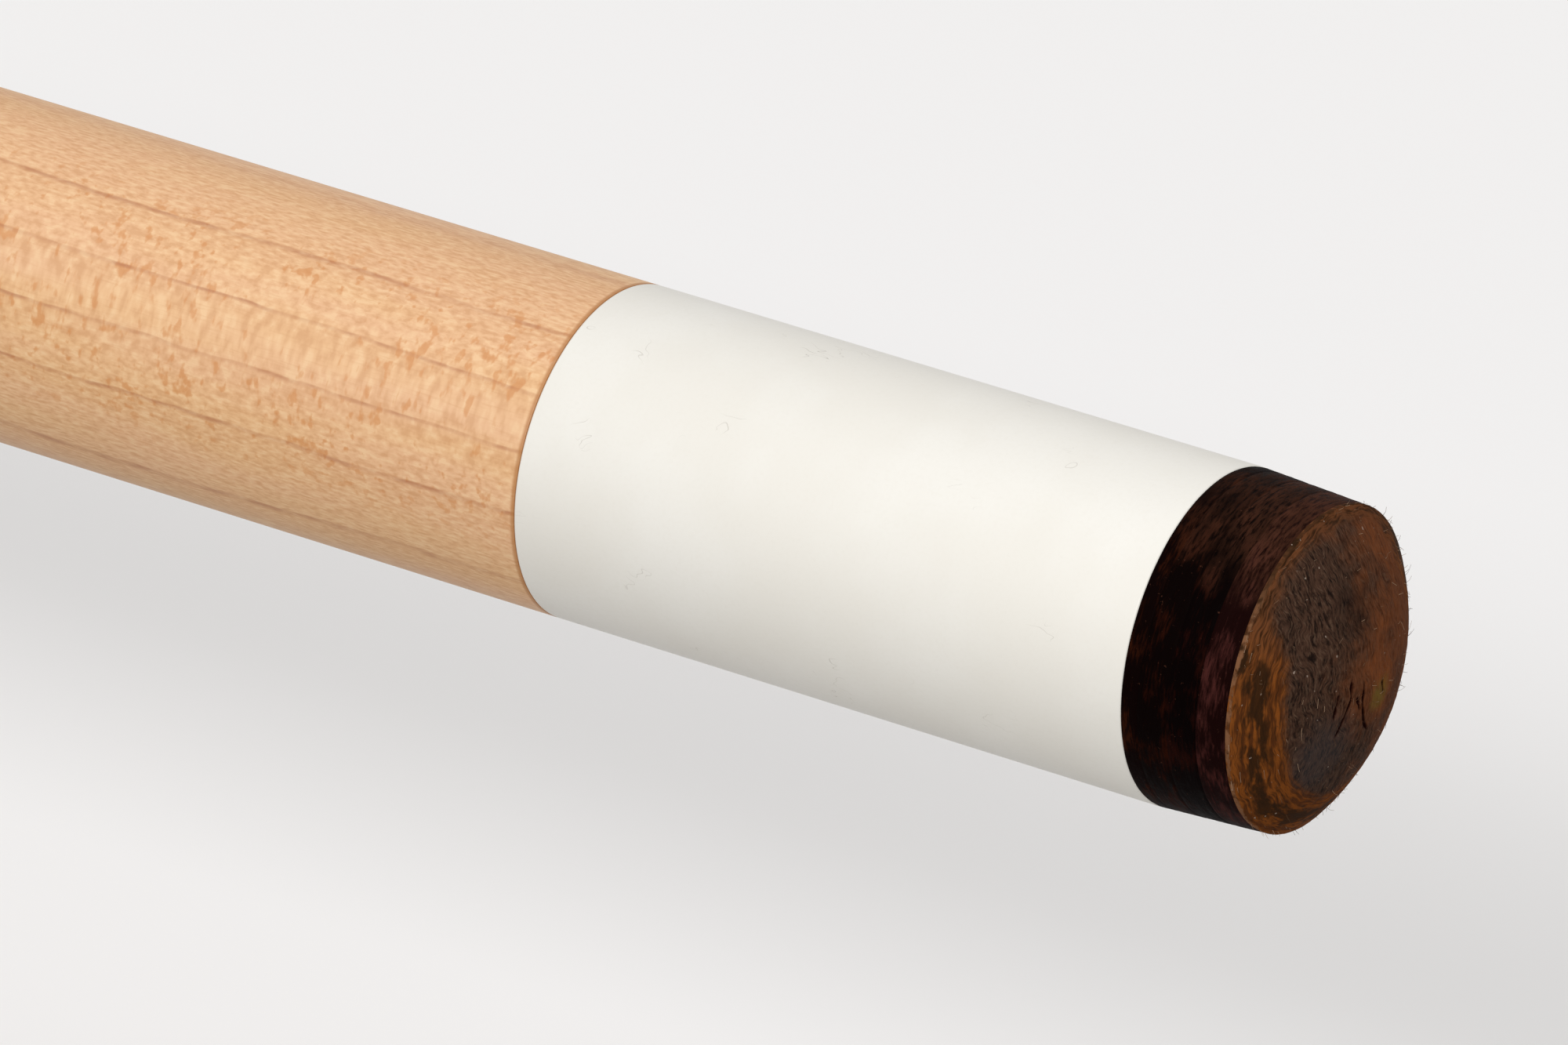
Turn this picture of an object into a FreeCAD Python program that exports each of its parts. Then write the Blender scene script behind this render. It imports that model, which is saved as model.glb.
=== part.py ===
import FreeCAD, Part
import Sketcher
import math
import os

# A two-piece pool cue, in millimetres. The cue's axis is +X, from the bumper's end face at X = 0
# towards the tip, and +Z is up. The joint between butt and shaft is a flat-faced screw joint.

doc = FreeCAD.newDocument("pool_cue")

# Driving dimensions: (alias, value, what it is)
DIMENSIONS = [
    ("butt_radius", 15.8, "radius of the butt cap"),
    ("joint_radius", 10.7, "radius of the collars on both sides of the joint"),
    ("bumper_length", 12.0, "rubber that stands out of the butt cap"),
    ("bumper_step", 0.5, "how much smaller the rubber's radius is than the cap's, where they meet"),
    ("bumper_draft", 1.1, "how much the rubber's radius shrinks from there to its end face"),
    ("bumper_edge", 2.6, "rounding of the end face's edge"),
    ("spigot_length", 5.0, "rubber spigot inside the cap"),
    ("spigot_clearance", 0.4, "radial gap round the spigot"),
    ("recess_clearance", 0.8, "radial gap between the screw's head and its recess"),
    ("recess_depth", 7.0, "depth of that recess"),
    ("washer_thickness", 1.0, "steel washer at the bottom of the recess"),
    ("washer_clearance", 0.4, "radial gap round the washer"),
    ("screw_radius", 3.1, "bumper screw's thread"),
    ("screw_length", 34.0, "bumper screw under its head"),
    ("screw_clearance", 0.3, "radial gap round the screw in rubber and washer"),
    ("head_radius", 4.6, "bumper screw's head"),
    ("head_height", 3.0, "height of that head"),
    ("head_edge", 0.6, "chamfer of that head"),
    ("head_hex", 4.0, "hex socket in the head, across flats"),
    ("head_hex_depth", 1.9, "depth of that socket"),
    ("thread_clearance", 0.05, "radial gap in both running screw threads"),
    ("cap_length", 30.0, "butt cap"),
    ("cap_edge", 0.8, "chamfer of the cap's rear edge"),
    ("ring_metal", 1.2, "length of a metal ring"),
    ("ring_wood", 3.0, "length of a dark wood ring"),
    ("sleeve_length", 76.2, "butt sleeve"),
    ("tenon_radius", 9.5, "handle's rear tenon, and the bore of what sits on it"),
    ("tenon_setback", 6.0, "from the cap's rear face to the end of that tenon"),
    ("weight_setback", 4.0, "from the end of the tenon to the weight bolt"),
    ("weight_radius", 6.35, "weight bolt"),
    ("weight_length", 60.0, "weight bolt"),
    ("weight_hex", 8.0, "hex socket in the weight bolt, across flats"),
    ("weight_hex_depth", 5.0, "depth of that socket"),
    ("tap_end_gap", 5.0, "tapped hole of the weight bolt beyond the end of the screw"),
    ("wrap_length", 304.8, "linen wrap"),
    ("wrap_thickness", 0.6, "linen wrap"),
    ("nose_radius", 8.0, "handle's front tenon, and its hole in the forearm"),
    ("nose_length", 24.0, "that tenon inside the forearm"),
    ("stud_radius", 4.7, "steel stud between handle and forearm"),
    ("stud_length", 90.0, "that stud"),
    ("stud_in_handle", 35.0, "part of the stud behind the wrap's front end"),
    ("forearm_length", 270.8, "forearm, from ring set to ring set"),
    ("neck_radius", 8.4, "forearm's front tenon under rings and collar"),
    ("collar_length", 25.4, "joint collar on the butt"),
    ("pin_radius", 4.7, "joint pin's thread"),
    ("pin_reach", 38.1, "joint pin in front of the joint's face"),
    ("pin_depth", 40.0, "joint pin behind the joint's face"),
    ("pin_nose", 1.4, "chamfer at the pin's end"),
    ("insert_wall", 1.65, "wall of the brass insert in the shaft"),
    ("insert_end_gap", 2.9, "insert beyond the end of the joint pin"),
    ("shaft_collar_length", 5.0, "collar at the shaft's rear end"),
    ("shaft_neck_radius", 8.4, "shaft's rear tenon under its collar and rings"),
    ("ring_clearance", 0.05, "radial gap inside the rear ring of the shaft"),
    ("taper_length", 394.3, "tapered part of the shaft"),
    ("barrel_length", 300.0, "parallel part of the shaft"),
    ("barrel_radius", 6.25, "parallel part of the shaft, ferrule and foot of the tip"),
    ("ferrule_length", 25.4, "ferrule"),
    ("ferrule_crown", 3.4, "solid end of the ferrule, under the tip"),
    ("ferrule_tenon_radius", 4.0, "shaft's front tenon, inside the ferrule"),
    ("tip_draft", 0.22, "how much the tip's radius shrinks up to the edge of its dome"),
    ("tip_side", 4.27, "height of the tip's side"),
    ("tip_dome_radius", 9.3, "sphere of the tip's dome"),
    ("tip_foot_layer", 0.62, "tip's first layer, sanded thin"),
    ("tip_layer", 1.165, "each further layer of leather"),
]
TIP_LAYERS = 6

sheet = doc.addObject("Spreadsheet::Sheet", "Sizes")
for row, (alias, value, note) in enumerate(DIMENSIONS, start=1):
    sheet.set(f"A{row}", alias)
    sheet.set(f"B{row}", str(value))
    sheet.set(f"C{row}", note)
    sheet.setAlias(f"B{row}", alias)
doc.recompute()

# Places and sizes that follow from the driving ones
derived = doc.addObject("App::VarSet", "Derived")


def derive(name, expression):
    derived.addProperty("App::PropertyFloat", name, "Derived")
    derived.setExpression(name, expression)
    doc.recompute()
    return f"Derived.{name}"


# The butt's outer pieces in order from the cap, each with the size that is its length
BUTT_ROW = [
    ("butt_cap", "cap_length"),
    ("cap_ring", "ring_metal"),
    ("butt_sleeve", "sleeve_length"),
    ("handle_ring_rear", "ring_metal"),
    ("handle_band", "ring_wood"),
    ("handle_ring_front", "ring_metal"),
    ("linen_wrap", "wrap_length"),
    ("forearm_ring_rear", "ring_metal"),
    ("forearm_band", "ring_wood"),
    ("forearm_ring_front", "ring_metal"),
    ("forearm", "forearm_length"),
    ("joint_ring_rear", "ring_metal"),
    ("joint_band", "ring_wood"),
    ("joint_ring_front", "ring_metal"),
    ("joint_collar", "collar_length"),
]
SHAFT_ROW = [
    ("shaft_collar", "shaft_collar_length"),
    ("shaft_ring_rear", "ring_metal"),
    ("shaft_band", "ring_wood"),
    ("shaft_ring_front", "ring_metal"),
    ("shaft_taper", "taper_length"),
    ("shaft_barrel", "barrel_length"),
    ("ferrule", "ferrule_length"),
    ("tip", "tip_side"),
]

start = {}
place = derive("butt_cap_start", "Sizes.bumper_length")
for name, length in BUTT_ROW:
    start[name] = place
    place = derive(f"{name}_end", f"{place} + Sizes.{length}")
joint_face = place
for name, length in SHAFT_ROW:
    start[name] = place
    place = derive(f"{name}_end", f"{place} + Sizes.{length}")
end = {name: f"Derived.{name}_end" for name, _ in BUTT_ROW + SHAFT_ROW}

taper_rate = derive(
    "taper_rate",
    f"(Sizes.butt_radius - Sizes.joint_radius) / ({start['joint_collar']} - {end['butt_cap']})",
)
shaft_rate = derive(
    "shaft_rate",
    f"(Sizes.joint_radius - Sizes.barrel_radius) / ({end['shaft_taper']} - {start['shaft_ring_rear']})",
)


bumper_radius = derive("bumper_radius", "Sizes.butt_radius - Sizes.bumper_step")
bumper_face_radius = derive("bumper_face_radius", f"{bumper_radius} - Sizes.bumper_draft")
recess_radius = derive("recess_radius", "Sizes.head_radius + Sizes.recess_clearance")
insert_bore = derive("insert_bore", "Sizes.pin_radius + Sizes.thread_clearance")
insert_radius = derive("insert_radius", f"{insert_bore} + Sizes.insert_wall")
insert_length = derive("insert_length", "Sizes.pin_reach + Sizes.insert_end_gap")
tip_rim_radius = derive("tip_rim_radius", "Sizes.barrel_radius - Sizes.tip_draft")


def butt_taper(place):
    # The butt's radius at a place between the cap and the joint collar
    return f"Sizes.butt_radius - ({place} - {end['butt_cap']}) * {taper_rate}"


def shaft_taper(place):
    # The shaft's radius at a place between its collar and its parallel barrel
    return f"Sizes.joint_radius - ({place} - {start['shaft_ring_rear']}) * {shaft_rate}"


def value_of(expression):
    return float(sheet.evalExpression(expression))


def origin_plane(body, role):
    return [feature for feature in body.Origin.OriginFeatures if feature.Role == role][0]


def new_sketch(body, name, role):
    sketch = body.newObject("Sketcher::SketchObject", name)
    sketch.AttachmentSupport = [(origin_plane(body, role), "")]
    sketch.MapMode = "FlatFace"
    return sketch


def new_body(name, place):
    body = doc.addObject("PartDesign::Body", name)
    body.Label = name
    body.setExpression("Placement.Base.x", place)
    return body


def size_constraint(sketch, kind, point, name, expression):
    # A dimension from the sketch's origin to one end of a line, bound to an expression
    vertex = (point, 1)
    number = sketch.addConstraint(Sketcher.Constraint(kind, -1, 1, *vertex, value_of(expression)))
    sketch.renameConstraint(number, name)
    sketch.setExpression(f"Constraints.{name}", expression)


def turned(name, place, outline):
    # A body turned about the cue's axis. The outline is a closed list of (along, radius), each an
    # expression, measured from the body's own place. "0" lies on the axis or on the body's rear face.
    body = new_body(name, place)
    sketch = new_sketch(body, f"{name}_outline", "XY_Plane")
    corners = [FreeCAD.Vector(value_of(along), value_of(radius), 0) for along, radius in outline]
    count = len(outline)
    for number in range(count):
        sketch.addGeometry(Part.LineSegment(corners[number], corners[(number + 1) % count]), False)
    for number in range(count):
        sketch.addConstraint(Sketcher.Constraint("Coincident", number, 2, (number + 1) % count, 1))
    for number, (along, radius) in enumerate(outline):
        before = outline[number - 1] if number else (None, None)
        if along == "0":
            sketch.addConstraint(Sketcher.Constraint("PointOnObject", number, 1, -2))
        elif along == before[0]:
            sketch.addConstraint(Sketcher.Constraint("Vertical", number - 1))
        else:
            size_constraint(sketch, "DistanceX", number, f"along_{number}", along)
        if radius == "0":
            sketch.addConstraint(Sketcher.Constraint("PointOnObject", number, 1, -1))
        elif radius == before[1]:
            sketch.addConstraint(Sketcher.Constraint("Horizontal", number - 1))
        else:
            size_constraint(sketch, "DistanceY", number, f"radius_{number}", radius)
    revolution = body.newObject("PartDesign::Revolution", f"{name}_turned")
    revolution.Profile = sketch
    revolution.ReferenceAxis = (sketch, ["H_Axis"])
    revolution.Angle = 360
    doc.recompute()
    return body


def sleeve(name, place, length, rear_radius, front_radius, bore):
    # A tube with a straight or tapered outside and a plain bore
    return turned(name, place, [("0", bore), (length, bore), (length, front_radius), ("0", rear_radius)])


def edge_names(body, along, radius):
    # The circular edges at one place and radius of a turned body, in its own frame
    names = []
    for number, edge in enumerate(body.Tip.Shape.Edges, start=1):
        curve = edge.Curve
        if not isinstance(curve, Part.Circle):
            continue
        if abs(curve.Center.x - along) < 1e-4 and abs(curve.Radius - radius) < 1e-4:
            names.append(f"Edge{number}")
    return names


def dress(body, kind, name, along, radius, size):
    # Round or bevel the edge at one place and radius; kind is Fillet or Chamfer
    base = body.Tip
    edges = edge_names(body, along, radius)
    feature = body.newObject(f"PartDesign::{kind}", name)
    feature.Base = (base, edges)
    feature.setExpression("Radius" if kind == "Fillet" else "Size", size)
    body.Tip = feature
    doc.recompute()


def hex_socket(body, name, flats, depth):
    # A hexagonal pocket into the body's rear face, along +X
    sketch = new_sketch(body, f"{name}_outline", "YZ_Plane")
    radius = value_of(flats) / math.sqrt(3)
    corners = []
    for side in range(6):
        angle = math.radians(60 * side)
        corners.append(FreeCAD.Vector(radius * math.sin(angle), radius * math.cos(angle), 0))
    for side in range(6):
        sketch.addGeometry(Part.LineSegment(corners[side], corners[(side + 1) % 6]), False)
    circle = sketch.addGeometry(Part.Circle(FreeCAD.Vector(0, 0, 0), FreeCAD.Vector(0, 0, 1), radius), True)
    sketch.addConstraint(Sketcher.Constraint("Coincident", circle, 3, -1, 1))
    for side in range(6):
        sketch.addConstraint(Sketcher.Constraint("Coincident", side, 2, (side + 1) % 6, 1))
        sketch.addConstraint(Sketcher.Constraint("PointOnObject", side, 1, circle))
    for side in range(5):
        sketch.addConstraint(Sketcher.Constraint("Equal", side, side + 1))
    sketch.addConstraint(Sketcher.Constraint("PointOnObject", 0, 1, -2))
    number = sketch.addConstraint(Sketcher.Constraint("Radius", circle, radius))
    sketch.renameConstraint(number, "corner_radius")
    sketch.setExpression("Constraints.corner_radius", f"{flats} / sqrt(3)")
    doc.recompute()
    before = body.Shape.Volume
    pocket = body.newObject("PartDesign::Pocket", name)
    pocket.Profile = sketch
    pocket.setExpression("Length", depth)
    pocket.Reversed = True
    body.Tip = pocket
    doc.recompute()
    if body.Shape.Volume >= before:
        raise RuntimeError(f"{name} cuts nothing")


# Bumper: a rubber foot, its washer and the screw that holds it
screw_bore = "Sizes.screw_radius + Sizes.screw_clearance"
spigot_radius = "Sizes.tenon_radius - Sizes.spigot_clearance"
bumper_depth = "Sizes.bumper_length + Sizes.spigot_length"


def bumper():
    body = turned(
        "bumper",
        "0",
        [
            ("0", recess_radius),
            ("Sizes.recess_depth", recess_radius),
            ("Sizes.recess_depth", screw_bore),
            (bumper_depth, screw_bore),
            (bumper_depth, spigot_radius),
            ("Sizes.bumper_length", spigot_radius),
            ("Sizes.bumper_length", bumper_radius),
            ("0", bumper_face_radius),
        ],
    )
    dress(body, "Fillet", "bumper_edge_round", 0, value_of(bumper_face_radius), "Sizes.bumper_edge")


def bumper_washer():
    place = "Sizes.recess_depth - Sizes.washer_thickness"
    rim = f"{recess_radius} - Sizes.washer_clearance"
    sleeve("bumper_washer", place, "Sizes.washer_thickness", rim, rim, screw_bore)


def bumper_screw():
    place = "Sizes.recess_depth - Sizes.washer_thickness - Sizes.head_height"
    body = turned(
        "bumper_screw",
        place,
        [
            ("0", "0"),
            ("Sizes.head_height + Sizes.screw_length", "0"),
            ("Sizes.head_height + Sizes.screw_length", "Sizes.screw_radius"),
            ("Sizes.head_height", "Sizes.screw_radius"),
            ("Sizes.head_height", "Sizes.head_radius"),
            ("0", "Sizes.head_radius"),
        ],
    )
    dress(body, "Chamfer", "head_bevel", 0, value_of("Sizes.head_radius"), "Sizes.head_edge")
    hex_socket(body, "head_socket", "Sizes.head_hex", "Sizes.head_hex_depth")


# Butt: the handle with its rear and front tenons carries the cap, rings, sleeve and wrap; the
# forearm sits on the handle's front tenon and is pulled tight by a stud
handle_start = derive("handle_start", "Sizes.bumper_length + Sizes.tenon_setback")
weight_start = derive("weight_start", f"{handle_start} + Sizes.weight_setback")
weight_hole = derive("weight_hole", "Sizes.weight_setback + Sizes.weight_length")
handle_nose = derive("handle_nose", f"{start['forearm']} + Sizes.nose_length")
stud_start = derive("stud_start", f"{end['linen_wrap']} - Sizes.stud_in_handle")


def handle_core():
    rear_step = f"{start['linen_wrap']} - {handle_start}"
    front_step = f"{end['linen_wrap']} - {handle_start}"
    stud_bottom = f"{stud_start} - {handle_start}"
    nose = f"{handle_nose} - {handle_start}"
    under_wrap_rear = f"{butt_taper(start['linen_wrap'])} - Sizes.wrap_thickness"
    under_wrap_front = f"{butt_taper(end['linen_wrap'])} - Sizes.wrap_thickness"
    turned(
        "handle_core",
        handle_start,
        [
            ("0", "Sizes.weight_radius"),
            (weight_hole, "Sizes.weight_radius"),
            (weight_hole, "0"),
            (stud_bottom, "0"),
            (stud_bottom, "Sizes.stud_radius"),
            (nose, "Sizes.stud_radius"),
            (nose, "Sizes.nose_radius"),
            (front_step, "Sizes.nose_radius"),
            (front_step, under_wrap_front),
            (rear_step, under_wrap_rear),
            (rear_step, "Sizes.tenon_radius"),
            ("0", "Sizes.tenon_radius"),
        ],
    )


def weight_bolt():
    tap_radius = "Sizes.screw_radius + Sizes.thread_clearance"
    screw_end = "Sizes.recess_depth - Sizes.washer_thickness + Sizes.screw_length"
    tap_end = f"{screw_end} + Sizes.tap_end_gap - {weight_start}"
    body = turned(
        "weight_bolt",
        weight_start,
        [
            ("0", tap_radius),
            (tap_end, tap_radius),
            (tap_end, "0"),
            ("Sizes.weight_length", "0"),
            ("Sizes.weight_length", "Sizes.weight_radius"),
            ("0", "Sizes.weight_radius"),
        ],
    )
    hex_socket(body, "weight_socket", "Sizes.weight_hex", "Sizes.weight_hex_depth")


def butt_cap():
    radius = "Sizes.butt_radius"
    body = sleeve("butt_cap", start["butt_cap"], "Sizes.cap_length", radius, radius, "Sizes.tenon_radius")
    dress(body, "Chamfer", "cap_bevel", 0, value_of(radius), "Sizes.cap_edge")


def butt_tube(name, bore):
    # A piece of the butt's tapered outside, over a tenon or the handle
    length = dict(BUTT_ROW)[name]
    sleeve(name, start[name], f"Sizes.{length}", butt_taper(start[name]), butt_taper(end[name]), bore)


def linen_wrap():
    rear = butt_taper(start["linen_wrap"])
    front = butt_taper(end["linen_wrap"])
    turned(
        "linen_wrap",
        start["linen_wrap"],
        [
            ("0", f"{rear} - Sizes.wrap_thickness"),
            ("Sizes.wrap_length", f"{front} - Sizes.wrap_thickness"),
            ("Sizes.wrap_length", front),
            ("0", rear),
        ],
    )


def handle_stud():
    radius = "Sizes.stud_radius"
    turned(
        "handle_stud",
        stud_start,
        [("0", "0"), ("Sizes.stud_length", "0"), ("Sizes.stud_length", radius), ("0", radius)],
    )


def forearm():
    stud_top = f"{stud_start} + Sizes.stud_length - {start['forearm']}"
    pin_bottom = f"{joint_face} - Sizes.pin_depth - {start['forearm']}"
    face = f"{joint_face} - {start['forearm']}"
    turned(
        "forearm",
        start["forearm"],
        [
            ("0", "Sizes.nose_radius"),
            ("Sizes.nose_length", "Sizes.nose_radius"),
            ("Sizes.nose_length", "Sizes.stud_radius"),
            (stud_top, "Sizes.stud_radius"),
            (stud_top, "0"),
            (pin_bottom, "0"),
            (pin_bottom, "Sizes.pin_radius"),
            (face, "Sizes.pin_radius"),
            (face, "Sizes.neck_radius"),
            ("Sizes.forearm_length", "Sizes.neck_radius"),
            ("Sizes.forearm_length", butt_taper(end["forearm"])),
            ("0", butt_taper(start["forearm"])),
        ],
    )


def joint_collar():
    radius = "Sizes.joint_radius"
    sleeve("joint_collar", start["joint_collar"], "Sizes.collar_length", radius, radius, "Sizes.neck_radius")


def joint_pin():
    length = "Sizes.pin_depth + Sizes.pin_reach"
    body = turned(
        "joint_pin",
        f"{joint_face} - Sizes.pin_depth",
        [("0", "0"), (length, "0"), (length, "Sizes.pin_radius"), ("0", "Sizes.pin_radius")],
    )
    dress(body, "Chamfer", "pin_bevel", value_of(length), value_of("Sizes.pin_radius"), "Sizes.pin_nose")


# Shaft: brass insert, collar and rings on the rear tenon, wood, ferrule and the layered tip
def shaft_insert():
    sleeve("shaft_insert", joint_face, insert_length, insert_radius, insert_radius, insert_bore)


def shaft_collar():
    radius = "Sizes.joint_radius"
    bore = "Sizes.shaft_neck_radius"
    sleeve("shaft_collar", joint_face, "Sizes.shaft_collar_length", radius, radius, bore)


def shaft_tube(name, bore="Sizes.shaft_neck_radius"):
    # A ring on the shaft's rear tenon, in line with the shaft's taper
    length = dict(SHAFT_ROW)[name]
    sleeve(name, start[name], f"Sizes.{length}", shaft_taper(start[name]), shaft_taper(end[name]), bore)


def shaft_wood():
    shoulder = f"{start['shaft_taper']} - {joint_face}"
    barrel = f"{end['shaft_taper']} - {joint_face}"
    ferrule_seat = f"{start['ferrule']} - {joint_face}"
    tenon_end = f"{end['ferrule']} - Sizes.ferrule_crown - {joint_face}"
    turned(
        "shaft_wood",
        joint_face,
        [
            ("0", insert_radius),
            (insert_length, insert_radius),
            (insert_length, "0"),
            (tenon_end, "0"),
            (tenon_end, "Sizes.ferrule_tenon_radius"),
            (ferrule_seat, "Sizes.ferrule_tenon_radius"),
            (ferrule_seat, "Sizes.barrel_radius"),
            (barrel, "Sizes.barrel_radius"),
            (shoulder, shaft_taper(start["shaft_taper"])),
            (shoulder, "Sizes.shaft_neck_radius"),
            ("0", "Sizes.shaft_neck_radius"),
        ],
    )


def ferrule():
    socket = "Sizes.ferrule_length - Sizes.ferrule_crown"
    turned(
        "ferrule",
        start["ferrule"],
        [
            ("0", "Sizes.ferrule_tenon_radius"),
            (socket, "Sizes.ferrule_tenon_radius"),
            (socket, "0"),
            ("Sizes.ferrule_length", "0"),
            ("Sizes.ferrule_length", "Sizes.barrel_radius"),
            ("0", "Sizes.barrel_radius"),
        ],
    )


along_cue = FreeCAD.Rotation(FreeCAD.Vector(0, 1, 0), 90)


def on_axis(kind, name, place, **bindings):
    # A Part primitive whose axis lies along the cue
    piece = doc.addObject(f"Part::{kind}", name)
    piece.Placement = FreeCAD.Placement(FreeCAD.Vector(0, 0, 0), along_cue)
    piece.setExpression("Placement.Base.x", place)
    for setting, expression in bindings.items():
        piece.setExpression(setting, expression)
    return piece


def tip():
    # The tip's form is a cone cut by a sphere, and each layer of leather is a slice of it
    foot = start["tip"]
    rim_to_centre = f"sqrt(Sizes.tip_dome_radius ^ 2 - {tip_rim_radius} ^ 2)"
    dome_centre = derive("dome_centre", f"{foot} + Sizes.tip_side - {rim_to_centre}")
    apex = derive("tip_apex", f"{dome_centre} + Sizes.tip_dome_radius")
    side_slope = derive("tip_slope", "Sizes.tip_draft / Sizes.tip_side")
    full_height = derive("tip_height", f"{apex} - {foot}")
    side = on_axis(
        "Cone",
        "tip_side",
        foot,
        Radius1="Sizes.barrel_radius",
        Radius2=f"Sizes.barrel_radius - {full_height} * {side_slope}",
        Height=full_height,
    )
    dome = on_axis("Sphere", "tip_dome", dome_centre, Radius="Sizes.tip_dome_radius")
    for layer in range(1, TIP_LAYERS + 1):
        low = f"{foot} + Sizes.tip_foot_layer + Sizes.tip_layer * {layer - 2}" if layer > 1 else foot
        high = f"{foot} + Sizes.tip_foot_layer + Sizes.tip_layer * {layer - 1}"
        if layer == TIP_LAYERS:
            high = f"{apex} + Sizes.tip_layer"
        slab = on_axis(
            "Cylinder",
            f"tip_slab_{layer}",
            low,
            Radius="2 * Sizes.barrel_radius",
            Height=f"{high} - ({low})",
        )
        slice_of_tip = doc.addObject("Part::MultiCommon", f"tip_layer_{layer}")
        slice_of_tip.Label = f"tip_layer_{layer}"
        slice_of_tip.Shapes = [side, dome, slab]
        doc.recompute()


bumper()
bumper_washer()
bumper_screw()
butt_cap()
handle_core()
weight_bolt()
for ring_on_tenon in ("cap_ring", "butt_sleeve", "handle_ring_rear", "handle_band", "handle_ring_front"):
    butt_tube(ring_on_tenon, "Sizes.tenon_radius")
linen_wrap()
for ring_on_nose in ("forearm_ring_rear", "forearm_band", "forearm_ring_front"):
    butt_tube(ring_on_nose, "Sizes.nose_radius")
handle_stud()
forearm()
for ring_on_neck in ("joint_ring_rear", "joint_band", "joint_ring_front"):
    butt_tube(ring_on_neck, "Sizes.neck_radius")
joint_collar()
joint_pin()
shaft_insert()
shaft_collar()
shaft_tube("shaft_ring_rear", "Sizes.shaft_neck_radius + Sizes.ring_clearance")
shaft_tube("shaft_band")
shaft_tube("shaft_ring_front")
shaft_wood()
ferrule()
tip()

doc.recompute()
for thing in doc.Objects:
    if "Invalid" in thing.State or "Error" in thing.State:
        raise RuntimeError(f"{thing.Label} failed: {thing.State}")
pieces = [thing for thing in doc.Objects if thing.TypeId in ("PartDesign::Body", "Part::MultiCommon")]
for piece in pieces:
    if piece.Shape.isNull() or not piece.Shape.isValid() or len(piece.Shape.Solids) != 1:
        raise RuntimeError(f"{piece.Label} isn't one sound solid")

os.makedirs("parts", exist_ok=True)
for piece in pieces:
    piece.Shape.exportStep(f"parts/{piece.Label}.step")
print(f"{len(pieces)} pieces")
print(f"joint face at {value_of(joint_face):.2f}, apex at {value_of('Derived.tip_apex'):.2f}")
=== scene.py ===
import bpy
import math
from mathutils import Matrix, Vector, noise


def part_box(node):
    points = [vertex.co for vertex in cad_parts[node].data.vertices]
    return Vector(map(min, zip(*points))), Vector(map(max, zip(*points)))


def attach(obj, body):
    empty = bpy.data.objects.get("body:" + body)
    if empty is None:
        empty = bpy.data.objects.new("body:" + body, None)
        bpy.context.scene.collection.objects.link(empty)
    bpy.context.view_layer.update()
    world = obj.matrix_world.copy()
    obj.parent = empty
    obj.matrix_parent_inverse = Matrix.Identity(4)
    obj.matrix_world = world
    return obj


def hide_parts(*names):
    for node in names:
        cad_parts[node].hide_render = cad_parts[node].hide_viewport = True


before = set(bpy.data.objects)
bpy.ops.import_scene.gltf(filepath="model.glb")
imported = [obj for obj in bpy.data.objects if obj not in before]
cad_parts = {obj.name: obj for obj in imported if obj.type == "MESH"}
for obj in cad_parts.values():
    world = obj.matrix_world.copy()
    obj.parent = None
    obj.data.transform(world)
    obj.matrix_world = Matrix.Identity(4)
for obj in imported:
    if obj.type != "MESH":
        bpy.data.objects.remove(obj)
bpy.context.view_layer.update()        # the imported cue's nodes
mm = 0.001               # the scene is in metres, the values below are easier to read in millimetres
print("frame loaded:", len(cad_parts), "nodes")


def span(node):
    # where a CAD node starts and ends along the cue, and its largest radius
    low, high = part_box(node)
    return low.x, high.x, (high.z - low.z) / 2


# modelling helpers


def deselectAll():
    if bpy.context.mode != "OBJECT":
        bpy.ops.object.mode_set(mode="OBJECT")
    bpy.ops.object.select_all(action="DESELECT")


def applyModifier(piece, kind, **settings):
    modifier = piece.modifiers.new(kind.title(), kind)
    for name, value in settings.items():
        setattr(modifier, name, value)
    deselectAll()
    piece.select_set(True)
    bpy.context.view_layer.objects.active = piece
    bpy.ops.object.modifier_apply(modifier=modifier.name)


def smooth(piece, degrees=35):
    deselectAll()
    piece.select_set(True)
    bpy.context.view_layer.objects.active = piece
    bpy.ops.object.shade_smooth_by_angle(angle=math.radians(degrees))


def lathe(name, outline, sides, bevel=0, segments=3, weld=0.002 * mm):
    # a chain of points (along, radius) drawn by extruding, then spun about the cue's axis
    deselectAll()
    along, radius = outline[0]
    bpy.ops.mesh.primitive_plane_add(size=mm, location=(along, 0, radius))
    piece = bpy.context.object
    piece.name = name
    piece.data.name = name
    bpy.ops.object.transform_apply(location=True, rotation=False, scale=False)
    bpy.ops.object.mode_set(mode="EDIT")
    bpy.ops.mesh.select_all(action="SELECT")
    bpy.ops.mesh.merge(type="CENTER")
    for before, after in zip(outline, outline[1:]):
        step = (after[0] - before[0], 0, after[1] - before[1])
        bpy.ops.mesh.extrude_region_move(TRANSFORM_OT_translate={"value": step})
    bpy.ops.mesh.select_all(action="SELECT")
    bpy.ops.mesh.spin(steps=sides, angle=math.tau, center=(0, 0, 0), axis=(1, 0, 0))
    bpy.ops.mesh.select_all(action="SELECT")
    bpy.ops.mesh.remove_doubles(threshold=weld)
    bpy.ops.mesh.normals_make_consistent(inside=False)
    bpy.ops.object.mode_set(mode="OBJECT")
    if bevel:
        corner = math.radians(50)     # sharper corners than this are eased
        applyModifier(
            piece, "BEVEL", width=bevel, segments=segments, limit_method="ANGLE", angle_limit=corner
        )
    smooth(piece)
    return piece


def steps(low, high, count):
    # evenly spaced values from low to high, both included
    return [low + (high - low) * number / count for number in range(count + 1)]


def scaleAcross(point, scale):
    point.y *= scale
    point.z *= scale


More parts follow.
